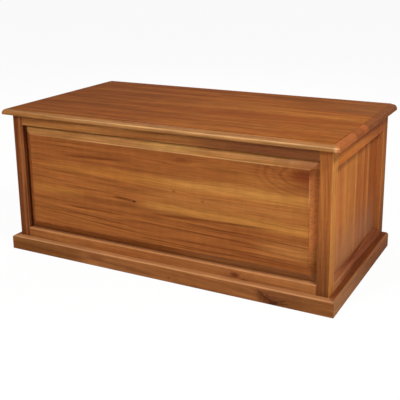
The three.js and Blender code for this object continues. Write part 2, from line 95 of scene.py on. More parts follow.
# %% A graph and its short words
def colour(code):
    """A colour code such as 9c5d31 as the light values that a shader takes."""
    values = [int(code[place : place + 2], 16) / 255 for place in (0, 2, 4)]
    return tuple(((value + 0.055) / 1.055) ** 2.4 for value in values) + (1.0,)


class Graph:
    """The graph of one material, or of the sky."""

    def __init__(self, owner):
        owner.use_nodes = True
        self.tree = owner.node_tree
        self.shader = self.tree.nodes.get("Principled BSDF")

    def put(self, kind, options, sockets):
        """Adds a node. Each socket takes a number, a colour or another node's output."""
        node = self.tree.nodes.new(kind)
        for option, value in options.items():
            setattr(node, option, value)
        for socket, value in sockets.items():
            self.feed(node, socket, value)
        return node

    def feed(self, node, socket, value):
        """Gives a socket its value or its link."""
        if isinstance(value, bpy.types.NodeSocket):
            self.tree.links.new(value, node.inputs[socket])
        else:
            node.inputs[socket].default_value = value

    def sum(self, operation, first, second=0.0):
        """The result of one sum on numbers or outputs."""
        return self.put("ShaderNodeMath", {"operation": operation}, {0: first, 1: second}).outputs[0]

    def times(self, first, second):
        return self.sum("MULTIPLY", first, second)

    def plus(self, first, second):
        return self.sum("ADD", first, second)

    def minus(self, first, second):
        return self.sum("SUBTRACT", first, second)

    def ranged(self, value, low, high, result_low=0.0, result_high=1.0):
        """value, eased from result_low at low to result_high at high."""
        limits = {"Value": value, "From Min": low, "From Max": high, "To Min": result_low, "To Max": result_high}
        return self.put("ShaderNodeMapRange", {"interpolation_type": "SMOOTHSTEP"}, limits).outputs[0]

    def mixed(self, amount, first, second, blend="MIX"):
        """Two colours blended by amount."""
        options = {"data_type": "RGBA", "blend_type": blend}
        return self.put("ShaderNodeMix", options, {0: amount, 6: first, 7: second}).outputs[2]

    def noise(self, x, y, z, detail, roughness=0.55):
        """Noise on three distances that are already divided by the size of the pattern."""
        point = self.put("ShaderNodeCombineXYZ", {}, {0: x, 1: y, 2: z}).outputs[0]
        sockets = {"Vector": point, "Scale": 1.0, "Detail": detail, "Roughness": roughness}
        return self.put("ShaderNodeTexNoise", {"noise_dimensions": "3D"}, sockets).outputs[0]


print("helpers ready; mid brown is", [round(value, 3) for value in colour("9c5d31")])


# %% [markdown]
# ## Floor and light
# A pale floor carries the chest's shadow. Three soft lamps do what windows would: one from the front
# left lights the front and gives the glint along the lid's rounded nose, one high on the right lights
# that end and casts the lid's shadow down it, and one behind keeps the back readable. An even sky fills
# the shadows. For the camera, and for all that mirrors or lets light through, floor and sky are white.

# %% Lay the floor
FLOOR_SIZE = 60.0
FLOOR_COLOUR = (0.9, 0.9, 0.9, 1.0)
FLOOR_ROUGHNESS = 0.9
FLOOR_GLOW = 0.93
WHITE = (1, 1, 1, 1)


def seen_directly(graph):
    """1 for the camera and for what gloss and glass show, 0 for the light that falls on the chest."""
    path = graph.put("ShaderNodeLightPath", {}, {})
    seen = graph.sum("MAXIMUM", path.outputs["Is Camera Ray"], path.outputs["Is Glossy Ray"])
    return graph.sum("MAXIMUM", seen, path.outputs["Is Transmission Ray"])


bpy.ops.mesh.primitive_plane_add(size=FLOOR_SIZE, location=(0, 0, 0))
floor = bpy.context.object
floor.name = "floor"
floor_material = bpy.data.materials.new("pale floor")
graph = Graph(floor_material)
graph.shader.inputs["Base Color"].default_value = FLOOR_COLOUR
graph.shader.inputs["Roughness"].default_value = FLOOR_ROUGHNESS
graph.shader.inputs["Specular IOR Level"].default_value = 0.0
glow = graph.put("ShaderNodeEmission", {}, {"Color": WHITE, "Strength": 1.0})
share = graph.times(seen_directly(graph), FLOOR_GLOW)
blend = graph.put("ShaderNodeMixShader", {}, {0: share, 1: graph.shader.outputs[0], 2: glow.outputs[0]})
graph.feed(graph.tree.nodes["Material Output"], "Surface", blend.outputs[0])
floor.data.materials.append(floor_material)
print("floor", FLOOR_SIZE, "m wide")

# %% Hang the lamps
LAMPS = {
    "front left lamp": {"at": (-1.7, -4.7, 3.3), "size": 1.6, "power": 175.0},
    "right lamp": {"at": (2.2, -1.1, 3.0), "size": 0.7, "power": 95.0},
    "back lamp": {"at": (-1.6, 2.8, 2.4), "size": 1.4, "power": 40.0},
}
LAMP_AIM = Vector((0, 0, 0.3))

for name, lamp in LAMPS.items():
    place = Vector(lamp["at"])
    turn = (place - LAMP_AIM).to_track_quat("Z", "Y").to_euler()
    bpy.ops.object.light_add(type="AREA", radius=1.0, location=place, rotation=turn)
    light = bpy.context.object
    light.name = name
    light.data.size = lamp["size"]
    light.data.energy = lamp["power"]
    print(name, lamp)

# %% Light the sky
SKY_LEVEL = 0.3

world = bpy.data.worlds.new("studio")
bpy.context.scene.world = world
graph = Graph(world)
level = graph.ranged(seen_directly(graph), 0.0, 1.0, SKY_LEVEL, 1.0)
background = graph.tree.nodes["Background"]
graph.feed(background, "Strength", level)
background.inputs["Color"].default_value = WHITE
bpy.context.scene.view_settings.view_transform = "Standard"
print("sky", SKY_LEVEL)


# %% [markdown]
# ## Timber
# A board is a slice of a trunk, so its figure is made the same way. Each point of the board is measured
# from the trunk's pith: that distance is the same all along one growth ring. Where the saw runs beside
# the pith the rings come out as straight lines, and where it grazes them they come out as tall arches. A
# slow noise lets the trunk wander, and a knot pushes the rings aside. A flat picture of wood would be
# quicker, but it shows the same figure on every face, and no end grain at the ends.

# %% Noise that follows the grain
AXES = "XYZ"


def grain_noise(graph, length, across, depth, pattern):
    """Noise drawn out along the board. pattern is its waves per metre along and across, and its detail."""
    along, sideways, detail = pattern
    x, y, z = graph.times(length, along), graph.times(across, sideways), graph.times(depth, sideways)
    return graph.noise(x, y, z, detail)


print("the grain runs along one of", list(AXES))

# %% The growth rings of a board
SLOW_SWAY = (1.3, 6.0, 2.0)
QUICK_SWAY = (9.0, 40.0, 1.0)
SLOW_REACH, QUICK_REACH = 4.0, 0.35
SLICE_STEP = 3.7
RAGGED_KNOT = 0.8


def knot_hill(graph, length, across, mark):
    """How far a point is from a knot, in knot sizes, and a hill that is 1 on it and 0 far from it."""
    x = graph.sum("DIVIDE", graph.minus(length, mark["along"]), mark["size"] * mark["stretch"])
    y = graph.sum("DIVIDE", graph.minus(across, mark["across"]), mark["size"])
    square = graph.plus(graph.times(x, x), graph.times(y, y))
    return graph.sum("SQRT", square), graph.sum("EXPONENT", graph.times(square, -1.0))


def growth_rings(graph, length, across, depth, seed, heart, lean, wander, knots):
    """The distance from the pith, with what the point swayed aside and the hills of the knots."""
    shifted = graph.plus(length, seed * SLICE_STEP)
    slow = grain_noise(graph, shifted, across, depth, SLOW_SWAY)
    quick = graph.minus(grain_noise(graph, shifted, across, depth, QUICK_SWAY), 0.5)
    sway = graph.times(graph.minus(slow, 0.5), wander * SLOW_REACH)
    swayed = graph.plus(across, graph.plus(sway, graph.times(quick, wander * QUICK_REACH)))
    side = graph.minus(swayed, heart[0])
    rise = graph.minus(depth, heart[1])
    ring = graph.sum("SQRT", graph.plus(graph.times(side, side), graph.times(rise, rise)))
    ring = graph.plus(ring, graph.times(length, lean))
    hills = []
    for mark in knots:
        away, hill = knot_hill(graph, length, swayed, mark)
        ring = graph.plus(ring, graph.times(hill, mark["push"]))
        rough = graph.times(quick, mark.get("ragged", RAGGED_KNOT))
        hills.append((graph.plus(away, rough), hill))
    return shifted, swayed, ring, hills


print("sway of the trunk: slow", SLOW_SWAY, "and quick", QUICK_SWAY)


# %% [markdown]
# The marks that everybody notices are laid down one by one. A streak is a line along the grain, with its
# own tone, that fades at its sides and its two ends; one with sharp sides is wear or dirt along an edge.
# A knot is a dark eye, and some knots have a few rings of their own round them, or open arcs where the
# grain swirls past. A mark's places are in metres on the chest, along the board and across it. Chance
# would scatter marks as well, but it wouldn't put them where this chest has them.

# %% Describe a streak, a knot and a fade
def streak(start, end, across, half, strength, tone, **more):
    """A streak from start to end. It reaches twice half to each side, and fades all the way unless it is sharp."""
    return {"start": start, "end": end, "across": across, "half": half, "strength": strength, "tone": tone, **more}


def knot(along, across, size, stretch, push, strength, tone, **more):
    """A knot, stretched along the grain, that pushes the rings aside."""
    return {"along": along, "across": across, "size": size, "stretch": stretch, "push": push,
            "strength": strength, "tone": tone, **more}


def fade(start, end, strength, tone):
    """A tone that comes in from start and has its full strength from end on."""
    return {"start": start, "end": end, "strength": strength, "tone": tone}


print("a fade is written down as", fade(0.4, 0.1, 0.6, "572d15"))

# %% Where streaks and knots lie
STREAK_END = 0.06
KNOT_RIM, KNOT_CORE = 0.55, 0.95
ARC_WIDTH = 0.15
RING_CREST, RING_REACH = (-0.2, 1.0), (0.02, 0.3)
RING_SHARE = 0.45


def streak_mask(graph, length, across, mark):
    """1 on the middle line of a streak, fading to its sides and its two ends."""
    slope, reach = mark.get("slope", 0.0), mark["half"] * 2
    line = {0: length, 1: -slope, 2: slope * mark["start"] - mark["across"]}
    line = graph.put("ShaderNodeMath", {"operation": "MULTIPLY_ADD"}, line).outputs[0]
    offset = graph.sum("ABSOLUTE", graph.plus(across, line))
    side = graph.ranged(offset, reach - mark.get("sharp", mark["half"]) * 2, reach, 1.0, 0.0)
    soft = mark.get("fade", STREAK_END)
    begin = graph.ranged(length, mark["start"] - soft, mark["start"] + soft)
    end = graph.ranged(length, mark["end"] - soft, mark["end"] + soft, 1.0, 0.0)
    return graph.times(graph.times(side, graph.times(begin, end)), mark["strength"])


def knot_mask(graph, mark, away, hill):
    """1 in a knot's eye, and less on the rings or the few open arcs round it."""
    eye = graph.times(graph.ranged(hill, mark.get("rim", KNOT_RIM), KNOT_CORE), mark["strength"])
    for reach, strength in mark.get("arcs", ()):
        off = graph.sum("ABSOLUTE", graph.minus(away, reach))
        eye = graph.sum("MAXIMUM", eye, graph.ranged(off, 0.0, ARC_WIDTH, strength, 0.0))
    if "rings" not in mark:
        return eye
    waves = graph.sum("SINE", graph.times(away, mark["rings"] * math.tau))
    rings = graph.times(graph.ranged(waves, *RING_CREST), graph.ranged(hill, *RING_REACH))
    return graph.sum("MAXIMUM", eye, graph.times(rings, mark["strength"] * RING_SHARE))


print("a streak fades out over", STREAK_END, "m at its ends")


# %% [markdown]
# The colours lie on top of that figure. The rings swing between a dark and a light tone, broad patches
# drift to the timber's redder tone, and thin dark lines mark slow years. Streaks and knots come over
# these, and the sharp lines of wear come last. Strands, fibres, a faint ripple and short dark pores show
# only close up, and a board without them looks like plastic.

# %% The plain timber's colour
RING_NOISE = {"drift": 1.1, "detail": 6.0, "roughness": 0.62}
THIN_NOISE = {"gap": 0.32, "drift": 1.6, "offset": 9.0, "detail": 2.0}
RING_SWING = 0.2
PATCHES = (1.9, 8.0, 2.0)
PATCH_RANGE = (0.42, 0.68)
THIN_RANGE = (0.58, 0.74)


def plain_tone(graph, tones, length, across, depth, seed, rings, look):
    """The colour of a board without its marks, and the noise of its thin dark lines."""
    dark, middle, light, red = tones
    shifted, _, ring, _ = rings
    years = graph.sum("DIVIDE", ring, look["gap"])
    thin_years = graph.sum("DIVIDE", ring, look["gap"] * THIN_NOISE["gap"])
    broad = graph.noise(
        years, graph.times(shifted, RING_NOISE["drift"]), seed, RING_NOISE["detail"], RING_NOISE["roughness"])
    thin = graph.noise(
        thin_years, graph.times(shifted, THIN_NOISE["drift"]), seed + THIN_NOISE["offset"], THIN_NOISE["detail"])
    patches = graph.ranged(grain_noise(graph, shifted, across, depth, PATCHES), *PATCH_RANGE)
    half = RING_SWING / look["figure"]
    ramp = graph.put("ShaderNodeValToRGB", {}, {0: graph.ranged(broad, 0.5 - half, 0.5 + half)})
    ramp.color_ramp.elements[0].color = dark
    ramp.color_ramp.elements[1].color = light
    ramp.color_ramp.elements.new(0.5).color = middle
    tone = graph.mixed(graph.times(patches, look["patch"]), ramp.outputs[0], red)
    tone = graph.mixed(graph.times(graph.ranged(thin, *THIN_RANGE), look["lines"]), tone, dark)
    for change in look["fades"]:
        share = graph.times(graph.ranged(length, change["start"], change["end"]), change["strength"])
        tone = graph.mixed(share, tone, colour(change["tone"]))
    return tone, thin


print("patches", PATCHES[0], "and", PATCHES[1], "to the metre along and across")

# %% The marks and the fine texture over it
BROKEN_STREAK = (0.2, 0.6, 0.6, 1.0)
STRANDS = (7.0, 210.0, 3.0)
FIBRES = (26.0, 750.0, 3.0)
RIPPLE = (42.0, 11.0, 2.0)
PORES = (130.0, 2400.0, 1.0)
FINE_RANGE = (0.3, 0.7)
FIBRE_DEPTH, RIPPLE_DEPTH = 0.1, 0.04
LIGHTER_SHARE = 0.8
PORE_RANGE = (0.6, 0.72, 0.0, 0.35)


def marked_tone(graph, tone, thin, length, across, rings, knots, streaks):
    """tone with the board's streaks and knots on it."""
    _, swayed, _, hills = rings
    for mark in streaks:
        if "sharp" not in mark:
            mask = graph.times(streak_mask(graph, length, swayed, mark), graph.ranged(thin, *BROKEN_STREAK))
            tone = graph.mixed(mask, tone, colour(mark["tone"]))
    for mark, (away, hill) in zip(knots, hills):
        tone = graph.mixed(knot_mask(graph, mark, away, hill), tone, colour(mark["tone"]))
    for mark in streaks:
        if "sharp" in mark:
            tone = graph.mixed(streak_mask(graph, length, across, mark), tone, colour(mark["tone"]))
    return tone


def textured_tone(graph, tone, dark, across, depth, rings, strand_depth):
    """tone with strands, fibres, a ripple and pores in it, and the fibres' noise, which the relief uses."""
    shifted, swayed = rings[:2]
    strands = grain_noise(graph, shifted, swayed, depth, STRANDS)
    fibres = grain_noise(graph, shifted, across, depth, FIBRES)
    ripple = grain_noise(graph, shifted, swayed, depth, RIPPLE)
    pores = grain_noise(graph, shifted, across, depth, PORES)
    for fine, amount in ((strands, strand_depth), (fibres, FIBRE_DEPTH), (ripple, RIPPLE_DEPTH)):
        shade = graph.ranged(fine, *FINE_RANGE, 1.0 - amount, 1.0 + amount * LIGHTER_SHARE)
        grey = graph.put("ShaderNodeCombineColor", {}, {0: shade, 1: shade, 2: shade}).outputs[0]
        tone = graph.mixed(1.0, tone, grey, "MULTIPLY")
    return graph.mixed(graph.ranged(pores, *PORE_RANGE), tone, dark), fibres


print("fibres", FIBRES[1], "and pores", PORES[1], "to the metre across the grain")


# %% [markdown]
# On end grain the lacquer soaks in, so it is darker and redder. On rounded edges the sandpaper cuts through the
# tone, so they are paler, and this paler tone is also a painted highlight along them; on the front hands have
# polished them. Both are found from the direction that a face looks in. The lacquer is satin: a clear coat over a
# matt board, thicker where it is polished, with the fibres just to be felt in it.

# %% Rounded edges, end grain and lacquer
WEAR_AND_HIGHLIGHT_TONE = "bb8a58"
END_GRAIN = (0.35, 0.95)
ROUNDED = (0.72, 0.85, 1.0, 0.0)
MATT_TO_SATIN = (0.46, 0.36)
THIN_LINE_RELIEF = 0.6
RELIEF_STRENGTH, RELIEF_DEPTH = 0.18, 0.0004
UPPER_EDGE, FLAT_TOP, FRONT_EDGE = (0.53, 0.62), (0.9, 0.98, 1.0, 0.0), (-0.5, -0.3, 1.0, 0.0)
THIN_COAT, POLISHED_COAT = 0.05, 0.6
LACQUER_ROUGHNESS = 0.14
LACQUER_IOR = 1.4


def edge_tone(graph, tone, red, normal, along, look):
    """tone, redder on end grain and paler on rounded edges, partly as wear and partly as a painted highlight."""
    sides = [graph.sum("ABSOLUTE", normal[axis]) for axis in AXES]
    end_grain = graph.ranged(sides[AXES.index(along)], *END_GRAIN, 0.0, look["ends"])
    tone = graph.mixed(end_grain, tone, red, "MULTIPLY")
    squarest = graph.sum("MAXIMUM", graph.sum("MAXIMUM", sides[0], sides[1]), sides[2])
    rounded = graph.ranged(squarest, *ROUNDED)
    return graph.mixed(graph.times(rounded, look["worn"]), tone, colour(WEAR_AND_HIGHLIGHT_TONE))


def lacquer(graph, normal, thin, fibres):
    """The satin finish, with the fibres' relief under it."""
    graph.feed(graph.shader, "Roughness", graph.ranged(fibres, *FINE_RANGE, *MATT_TO_SATIN))
    height = graph.plus(fibres, graph.times(thin, THIN_LINE_RELIEF))
    relief = {"Height": height, "Strength": RELIEF_STRENGTH, "Distance": RELIEF_DEPTH}
    graph.feed(graph.shader, "Normal", graph.put("ShaderNodeBump", {}, relief).outputs[0])
    upper = graph.times(graph.ranged(normal["Z"], *UPPER_EDGE), graph.ranged(normal["Z"], *FLAT_TOP))
    polished = graph.times(upper, graph.ranged(normal["Y"], *FRONT_EDGE))
    graph.feed(graph.shader, "Coat Weight", graph.ranged(polished, 0.0, 1.0, THIN_COAT, POLISHED_COAT))
    graph.shader.inputs["Specular IOR Level"].default_value = 0.0
    graph.shader.inputs["Coat Roughness"].default_value = LACQUER_ROUGHNESS
    graph.shader.inputs["Coat IOR"].default_value = LACQUER_IOR


print("weight of the clear coat:", THIN_COAT, "and where it is polished", POLISHED_COAT)

# %% A board's whole material
PLAIN_LOOK = {"gap": 0.013, "figure": 1.0, "lines": 0.5, "patch": 0.5, "strands": 0.12, "fades": (), "ends": 0.3,
              "worn": 0.3}


def timber(name, along, face, tones, seed, heart, knots=(), streaks=(), lean=0.02, wander=0.006, **changes):
    """One board's material. tones are its dark, middle, light and red tone."""
    look = {**PLAIN_LOOK, **changes}
    tones = [colour(code) for code in tones]
    material = bpy.data.materials.new(name)
    graph = Graph(material)
    place = graph.put("ShaderNodeTexCoord", {}, {})
    parts = graph.put("ShaderNodeSeparateXYZ", {}, {0: place.outputs["Object"]}).outputs
    normal = graph.put("ShaderNodeSeparateXYZ", {}, {0: place.outputs["Normal"]}).outputs
    length, depth = parts[along], parts[face]
    across = parts[next(axis for axis in AXES if axis not in (along, face))]
    rings = growth_rings(graph, length, across, depth, seed, heart, lean, wander, knots)
    tone, thin = plain_tone(graph, tones, length, across, depth, seed, rings, look)
    tone = marked_tone(graph, tone, thin, length, across, rings, knots, streaks)
    tone, fibres = textured_tone(graph, tone, tones[0], across, depth, rings, look["strands"])
    graph.feed(graph.shader, "Base Color", edge_tone(graph, tone, tones[3], normal, along, look))
    lacquer(graph, normal, thin, fibres)
    return material


print("a plain board's look:", PLAIN_LOOK)


# %% [markdown]
# ## Giving each piece its board
# Boards in one chest never match exactly. Every piece gets its own slice of timber, with its own tone
# and its own distance from the pith, as a joiner would have picked them from the stack. The pieces keep
# the measured model's shape. Each is copied, its loose triangles are joined up, and its rounded edges are
# shaded smooth, so that the light runs along them without steps.

# %% Join up and smooth a copy of a measured piece
JOIN_WITHIN = 0.00002
FLAT_WITHIN = math.radians(0.05)
SMOOTH_BELOW = math.radians(20)


def finished_copy(node, material):
    """Makes a smoothly shaded copy, with its material, that stands for a piece of the measured model."""
    bpy.ops.object.select_all(action="DESELECT")
    copy = bpy.data.objects.new(node + "_finished", frame["nodes"][node].data.copy())
    bpy.context.collection.objects.link(copy)
    copy.select_set(True)
    bpy.context.view_layer.objects.active = copy
    bpy.ops.object.mode_set(mode="EDIT")
    bpy.ops.mesh.select_all(action="SELECT")
    bpy.ops.mesh.remove_doubles(threshold=JOIN_WITHIN)
    bpy.ops.mesh.dissolve_limited(angle_limit=FLAT_WITHIN)
    bpy.ops.object.mode_set(mode="OBJECT")
    bpy.ops.object.shade_smooth_by_angle(angle=SMOOTH_BELOW)
    bpy.ops.object.modifier_add(type="WEIGHTED_NORMAL")
    copy.modifiers[-1].keep_sharp = True
    bpy.ops.object.modifier_apply(modifier=copy.modifiers[-1].name)
    copy.data.materials.clear()
    copy.data.materials.append(material)
    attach(copy, bodies_of_nodes[node])
    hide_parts(node)


print("corners join within", JOIN_WITHIN * 1000, "mm")

# %% [markdown]
# ## The lid
# Five boards, glued edge to edge, run the length of the lid. They come from one plank, so their tones are
# close, and only the left end is darker, where more heartwood shows. Long fine lines run along it there.
# The rings are laid wide, because the flat of a lid is cut far from the pith. The front board's moulding is pale
# sapwood, and its pale bands also paint the reflection on its sloping face. A pale line along its nose is partly
# wear and partly a painted highlight, a painted glint sits at its right front corner, and the first long line is a
# painted highlight along the moulding's inner edge. All these are streaks, because a board shows them as stripes
# along its length.

# %% The lid's tones and lines
LID_TONES = ("703b13", "8d4f1d", "9c5e26", "8e4717")
LID_FADES = [fade(0.45, -0.6, 0.65, "6e360f")]
DULL_CORNER = fade(0.30, 0.56, 0.45, "74492a")
# pale sapwood bands on the moulding, which also paint the reflection on its sloping face
SAPWOOD_AND_SHEEN_BANDS = [
    streak(-0.7, 0.574, -0.3093, half, strength, "8c5e34", sharp=0.0006, fade=0.004)
    for half, strength in ((0.0101, 0.3), (0.0061, 0.75))
]
# a pale line along the nose: partly wear, partly a painted highlight
WORN_AND_LIT_NOSE = streak(-0.32, 0.6, -0.3079, 0.0008, 0.5, "dcae78", sharp=0.0008, fade=0.16)
# a painted glint at the lid's front right corner
PAINTED_CORNER_GLINT = streak(0.571, 0.579, -0.3079, 0.0012, 0.45, "e2b98a", sharp=0.0008, fade=0.005)
LIT_SHOULDER, LONG_SHADE, LID_LIGHT, LID_DARK = "b07850", "632e10", "a2622c", "652f11"
LID_LINES = [
    # the first line is a painted highlight along the moulding's inner edge; the others are grain
    streak(-0.50, 0.05, -0.283, 0.0035, 0.45, LIT_SHOULDER, slope=0.0),
    streak(-0.33, -0.17, -0.258, 0.006, 0.55, LONG_SHADE, slope=0.01),
    streak(-0.48, 0.02, -0.232, 0.005, 0.30, LID_LIGHT, slope=-0.02),
    streak(-0.52, -0.06, -0.205, 0.005, 0.40, LID_DARK, slope=0.01),
    streak(-0.44, 0.00, -0.176, 0.005, 0.30, LID_LIGHT, slope=-0.01),
    streak(-0.50, -0.10, -0.128, 0.005, 0.40, LID_DARK, slope=0.02),
    streak(-0.46, 0.04, -0.096, 0.006, 0.30, LID_LIGHT, slope=0.01),
    streak(-0.52, 0.00, -0.060, 0.005, 0.40, LID_DARK, slope=-0.02),
    streak(-0.40, 0.06, -0.012, 0.006, 0.30, LID_LIGHT, slope=0.02),
    streak(-0.50, -0.08, 0.024, 0.006, 0.40, LID_DARK, slope=0.01),
    streak(-0.46, 0.02, 0.058, 0.006, 0.30, LID_LIGHT, slope=-0.01),
    streak(-0.42, 0.00, 0.108, 0.006, 0.40, LID_DARK, slope=0.01),
    streak(-0.50, 0.05, 0.146, 0.007, 0.35, LID_LIGHT, slope=0.02),
    streak(-0.44, -0.04, 0.176, 0.006, 0.35, LID_DARK, slope=-0.02),
    streak(-0.40, 0.10, 0.222, 0.007, 0.35, LID_LIGHT, slope=0.01),
    streak(-0.46, 0.00, 0.262, 0.007, 0.35, LID_DARK, slope=0.01),
]
print("lid lines:", len(LID_LINES))

# %% [markdown]
# At the ends of the lid the boards are cut across. There the tone of each is another, as the lacquer has
# soaked in more or less, and so the joints show best. A shade lies along the first joint, and the second
# board has a paler flame. A second material could colour the ends, but a wide streak that starts at the
# moulding does it within the board's own.

# %% The lid's boards
END_TONES = ("a55c32", "8e4b28", "784528", "754326", "7a482a")
ENDS = ((-0.7, -0.568), (0.568, 0.7))
CUT_FADE = 0.0015
END_LOOK = {"half": 0.2, "strength": 0.75, "sharp": 0.01, "fade": CUT_FADE}
JOINT_SHADE = streak(*ENDS[1], -0.1455, 0.004, 0.6, "6e3a20", sharp=0.002, fade=CUT_FADE)
END_FLAME = streak(*ENDS[1], -0.058, 0.014, 0.75, "a65a2e", sharp=0.008, fade=CUT_FADE)
EXTRA_MARKS = {1: SAPWOOD_AND_SHEEN_BANDS + [WORN_AND_LIT_NOSE, PAINTED_CORNER_GLINT, JOINT_SHADE], 2: [END_FLAME]}
FIRST_DULL_BOARD = 4
HEART_BESIDE, HEART_HEIGHT = 0.05, 0.38

for number, end_tone in enumerate(END_TONES, start=1):
    low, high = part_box(f"lid_board_{number}")
    middle = (low.y + high.y) / 2
    streaks = [streak(start, end, middle, tone=end_tone, **END_LOOK) for start, end in ENDS]
    streaks += [line for line in LID_LINES if low.y < line["across"] < high.y]
    streaks += EXTRA_MARKS.get(number, [])
    fades = LID_FADES + [DULL_CORNER] * (number >= FIRST_DULL_BOARD)
    heart = (middle + HEART_BESIDE * (-1) ** number, HEART_HEIGHT)
    board = timber(f"lid board {number}", "X", "Z", LID_TONES, seed=number, heart=heart, streaks=streaks,
                   lean=0.015, gap=0.02, figure=0.9, lines=0.9, fades=fades, ends=0.0, worn=0.1, strands=0.26)
    finished_copy(f"lid_board_{number}", board)
print("lid boards:", len(END_TONES), "tones", LID_TONES)


# %% [markdown]
# ## The front panel
# The panel is the piece that everybody looks at. It is one wide board with two golden bands, a dark red
# swirl in its top right corner, a small eye left of it, pin knots, and long thin dark lines that sag
# towards the bottom. Each is laid down by its place on the panel. Where marks lie on each other the later
# one shows, so the broad ones come before the fine ones, and only the finest lines lie under all.

# %% The panel's knots and golden bands
PANEL_TONES = ("6d3c1a", "8b5126", "9c5f2b", "804521")
PANEL_KNOTS = [
    knot(0.485, 0.391, 0.033, 2.3, 0.058, 0.75, "652a15", rim=0.4, ragged=0.12,
         arcs=((1.0, 0.42), (1.3, 0.16), (1.62, 0.34), (1.95, 0.2))),
    knot(0.085, 0.394, 0.012, 3.2, 0.02, 0.45, "7a3c1f", rim=0.3, rings=1.3),
    knot(-0.086, 0.239, 0.0065, 1.6, 0.006, 0.9, "431c0a"),
    knot(0.060, 0.296, 0.006, 1.8, 0.004, 0.6, "6a3312"),
    knot(0.159, 0.276, 0.006, 1.8, 0.004, 0.5, "6a3312"),
    knot(-0.507, 0.160, 0.006, 1.3, 0.003, 0.8, "3c1a0c"),
]
GOLDEN_BANDS = [
    streak(-0.42, 0.52, 0.320, 0.014, 0.2, "b87c31"),
    streak(0.02, 0.52, 0.322, 0.016, 0.65, "b98040", fade=0.15),
    streak(-0.02, 0.52, 0.277, 0.020, 0.5, "b0733a", fade=0.12),
    streak(-0.05, 0.52, 0.235, 0.014, 0.6, "b77e3c"),
    streak(-0.52, -0.30, 0.236, 0.010, 0.5, "ab7231"),
    streak(0.28, 0.43, 0.362, 0.012, 0.3, "b4783a"),
    streak(0.36, 0.52, 0.162, 0.022, 0.45, "b67c42"),
]
print("panel:", len(PANEL_KNOTS), "knots and", len(GOLDEN_BANDS), "golden bands")

# %% The panel's dark lines
DARK_LINES = [
    streak(-0.36, -0.12, 0.362, 0.005, 0.8, "5f2e14", slope=0.03),
    streak(-0.02, 0.36, 0.205, 0.003, 0.8, "5f2e14", slope=0.05),
    streak(0.34, 0.52, 0.188, 0.002, 0.7, "5f2e14", slope=-0.03),
    streak(-0.36, -0.14, 0.190, 0.003, 0.8, "5f2e14", slope=-0.02),
    streak(-0.16, -0.09, 0.247, 0.0035, 0.9, "522410", slope=-0.09, fade=0.02),
]
LOWER_LINES = [
    streak(start, end, across, 0.0016, 0.6, "57280f", slope=slope)
    for start, end, across, slope in (
        (-0.47, -0.10, 0.158, -0.045), (-0.30, 0.06, 0.150, -0.050), (-0.44, -0.02, 0.176, -0.060),
        (-0.10, 0.34, 0.176, -0.020), (0.02, 0.50, 0.139, -0.008), (-0.05, 0.50, 0.124, -0.016),
        (0.15, 0.50, 0.170, -0.030), (0.28, 0.50, 0.156, -0.050), (-0.14, 0.26, 0.113, 0.012),
        (0.10, 0.44, 0.190, 0.010), (0.24, 0.50, 0.131, -0.030), (-0.05, 0.30, 0.199, -0.022),
        (0.05, 0.50, 0.104, -0.022), (0.16, 0.52, 0.100, -0.030), (0.30, 0.52, 0.106, -0.040),
    )
]
print("panel:", len(DARK_LINES + LOWER_LINES), "dark lines")

# %% [markdown]
# The bevels round the field cut through the rings at a slant, so each has another tone than the field, and their
# tones also carry painted light. The top one is painted paler where it faces up, palest in the middle, and the
# bottom one is dark, partly as painted shade. A painted highlight runs along the sharp step between field and bevel
# at the top and the right. The bevels are already in the measured panel, so they only need their tones, and sharp
# streaks that end at the step keep to them.

# %% The panel's bevels and edges
TOP_STEP, FIELD_END, TOP_BEVEL, BOTTOM_BEVEL, BEVEL_HALF = 0.4165, 0.4968, 0.434, 0.089, 0.0085
# painted highlights along the step between field and bevel, at the top and down the right
STEP_HIGHLIGHTS = [
    streak(-0.4955, -0.34, TOP_STEP, 0.0011, 0.3, "d8a166", sharp=0.0006, fade=0.03),
    streak(-0.34, 0.40, TOP_STEP, 0.0011, 0.7, "d8a166", sharp=0.0006, fade=0.03),
    streak(0.40, 0.4955, TOP_STEP, 0.0009, 0.4, "d8a166", sharp=0.0006, fade=0.001),
    streak(0.4943, 0.4967, 0.355, 0.032, 0.5, "d59c68", sharp=0.02, fade=0.0012),
]
# bevel tones, partly grain and partly painted light: the top bevel painted paler, the bottom one darker as painted
# shade
BEVEL_TONES_AND_LIGHT = [
    streak(FIELD_END, 0.6, 0.29, 0.073, 0.75, "b26a38", sharp=0.03, fade=0.001),
    streak(FIELD_END, 0.6, 0.10, 0.02, 0.4, "8e4c2a", sharp=0.02, fade=0.001),
    streak(0.43, 0.7, TOP_BEVEL, BEVEL_HALF, 0.6, "b87444", sharp=0.001, fade=0.01),
    streak(-0.6, -FIELD_END, 0.26, 0.1, 0.4, "7a3f22", sharp=0.02, fade=0.001),
    streak(-0.7, -0.30, TOP_BEVEL, BEVEL_HALF, 0.85, "aa7440", sharp=0.001, fade=0.12),
    streak(-0.30, -0.05, TOP_BEVEL, BEVEL_HALF, 0.85, "b98049", sharp=0.001, fade=0.06),
    streak(-0.05, 0.15, TOP_BEVEL, BEVEL_HALF, 0.85, "c89252", sharp=0.001, fade=0.06),
    streak(0.15, 0.43, TOP_BEVEL, BEVEL_HALF, 0.85, "bd7f3f", sharp=0.001, fade=0.12),
    streak(-0.7, 0.10, BOTTOM_BEVEL, BEVEL_HALF, 0.5, "5c3017", sharp=0.001, fade=0.1),
    streak(0.10, 0.7, BOTTOM_BEVEL, BEVEL_HALF, 0.5, "7f5536", sharp=0.001, fade=0.1),
]
panel_streaks = LOWER_LINES + GOLDEN_BANDS + DARK_LINES + STEP_HIGHLIGHTS + BEVEL_TONES_AND_LIGHT
panel = timber("raised panel timber", "X", "Y", PANEL_TONES, seed=21, heart=(0.03, -0.16),
               knots=PANEL_KNOTS, streaks=panel_streaks, figure=0.7, lines=0.7, strands=0.18, ends=0.4)
finished_copy("panel_front_raised", panel)
print("panel marks:", len(PANEL_KNOTS), "knots and", len(panel_streaks), "streaks")
